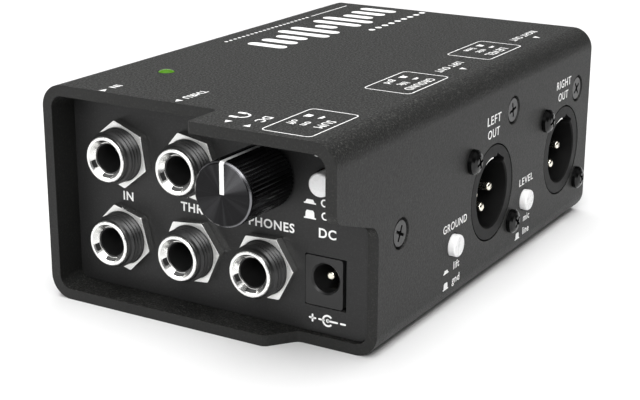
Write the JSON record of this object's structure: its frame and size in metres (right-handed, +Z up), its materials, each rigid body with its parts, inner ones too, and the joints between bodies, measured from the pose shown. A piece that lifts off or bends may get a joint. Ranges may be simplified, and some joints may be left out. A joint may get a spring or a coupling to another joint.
{
  "type": "direct injection box",
  "caption": "Low rectangular metal direct injection box: hooded front panel with phone jacks, a ribbed volume knob and a power inlet, XLR outputs and push buttons on one side.",
  "frame": {"origin": "middle of the sleeve's flat underside, halfway along the sleeve without its hood", "axes": "+Y from the jack panel to the rear, +X towards the wall with the output sockets, +Z up"},
  "size_m": [0.0832, 0.1344, 0.0505],
  "materials": {
    "sleeve_paint": "fine-textured charcoal powder coat",
    "chassis_paint": "fine-textured charcoal powder coat",
    "case_screw_steel": "blackened steel",
    "black_screw": "gloss black oxide",
    "zinc_steel": "zinc plated",
    "brass": "plain",
    "nickel": "bright nickel plate",
    "black_plastic": "moulded",
    "jack_plastic": "moulded, slight sheen",
    "switch_plastic": "moulded",
    "xlr_plastic": "moulded, satin",
    "button_white": "gloss white",
    "label_ink": "screen-printed white ink",
    "knob_anodised": "black anodised, spun face",
    "plated_pin": "pale gold plate",
    "contact_metal": "tinned spring bronze",
    "spring_steel": "drawn wire",
    "phenolic": "phenolic sheet",
    "circuit_board": "solder-masked laminate",
    "capacitor_sleeve": "shrink sleeve",
    "chip_black": "moulded epoxy",
    "core_steel": "stacked laminations",
    "coil_tape": "polyester tape over copper",
    "led_body": "moulded epoxy",
    "green_lens": "clear green"
  },
  "bodies": {
    "case": {"outer_sleeve": "sleeve_paint", "front_panel": "chassis_paint", "rear_panel": "chassis_paint", "chassis_floor": "chassis_paint", "case_screws": "case_screw_steel", "xlr_screws": "black_screw", "board_screws": "zinc_steel", "board_spacers": "brass", "jack_nuts": "nickel", "dc_socket": "black_plastic", "dc_contacts": "plated_pin", "pot_case": "zinc_steel", "pot_nut": "nickel", "pot_track": "phenolic", "pot_terminals": "contact_metal", "switch_springs": "spring_steel", "xlr_ground_springs": "nickel", "front_board": "circuit_board", "output_board": "circuit_board", "main_board": "circuit_board", "board_headers": "black_plastic", "capacitors": "capacitor_sleeve", "op_amps": "chip_black", "power_led": "led_body", "led_lens": "green_lens", "upper_input_jack": "jack_plastic", "upper_input_ferrule": "nickel", "upper_input_contacts": "contact_metal", "lower_input_jack": "jack_plastic", "lower_input_ferrule": "nickel", "lower_input_contacts": "contact_metal", "upper_thru_jack": "jack_plastic", "upper_thru_ferrule": "nickel", "upper_thru_contacts": "contact_metal", "lower_thru_jack": "jack_plastic", "lower_thru_ferrule": "nickel", "lower_thru_contacts": "contact_metal", "phones_jack": "jack_plastic", "phones_ferrule": "nickel", "phones_contacts": "contact_metal", "sum_switch_case": "switch_plastic", "ground_switch_case": "switch_plastic", "level_switch_case": "switch_plastic", "left_xlr_housing": "xlr_plastic", "left_xlr_pins": "plated_pin", "left_transformer_core": "core_steel", "left_transformer_coil": "coil_tape", "right_xlr_housing": "xlr_plastic", "right_xlr_pins": "plated_pin", "right_transformer_core": "core_steel", "right_transformer_coil": "coil_tape"},
    "volume_control": {"volume_knob": "knob_anodised", "pot_shaft": "zinc_steel", "pot_wiper": "contact_metal"},
    "sum_push": {"sum_button": "button_white", "sum_plunger": "switch_plastic"},
    "ground_push": {"ground_button": "button_white", "ground_plunger": "switch_plastic"},
    "level_push": {"level_button": "button_white", "level_plunger": "switch_plastic"}
  },
  "joints": [
    {"name": "volume_turn", "type": "hinge", "parent": "case", "child": "volume_control", "pos_m": [0.01335, -0.05435, 0.03545], "axis": [0, 1, 0], "range_deg": [-150, 150]},
    {"name": "sum_press", "type": "slide", "parent": "case", "child": "sum_push", "axis": [0, 1, 0], "range_m": [0, 0.002], "stiffness_N_per_m": 800, "springref_m": -0.001},
    {"name": "ground_press", "type": "slide", "parent": "case", "child": "ground_push", "axis": [-1, 0, 0], "range_m": [0, 0.002], "stiffness_N_per_m": 800, "springref_m": -0.001},
    {"name": "level_press", "type": "slide", "parent": "case", "child": "level_push", "axis": [-1, 0, 0], "range_m": [0, 0.002], "stiffness_N_per_m": 800, "springref_m": -0.001}
  ]
}
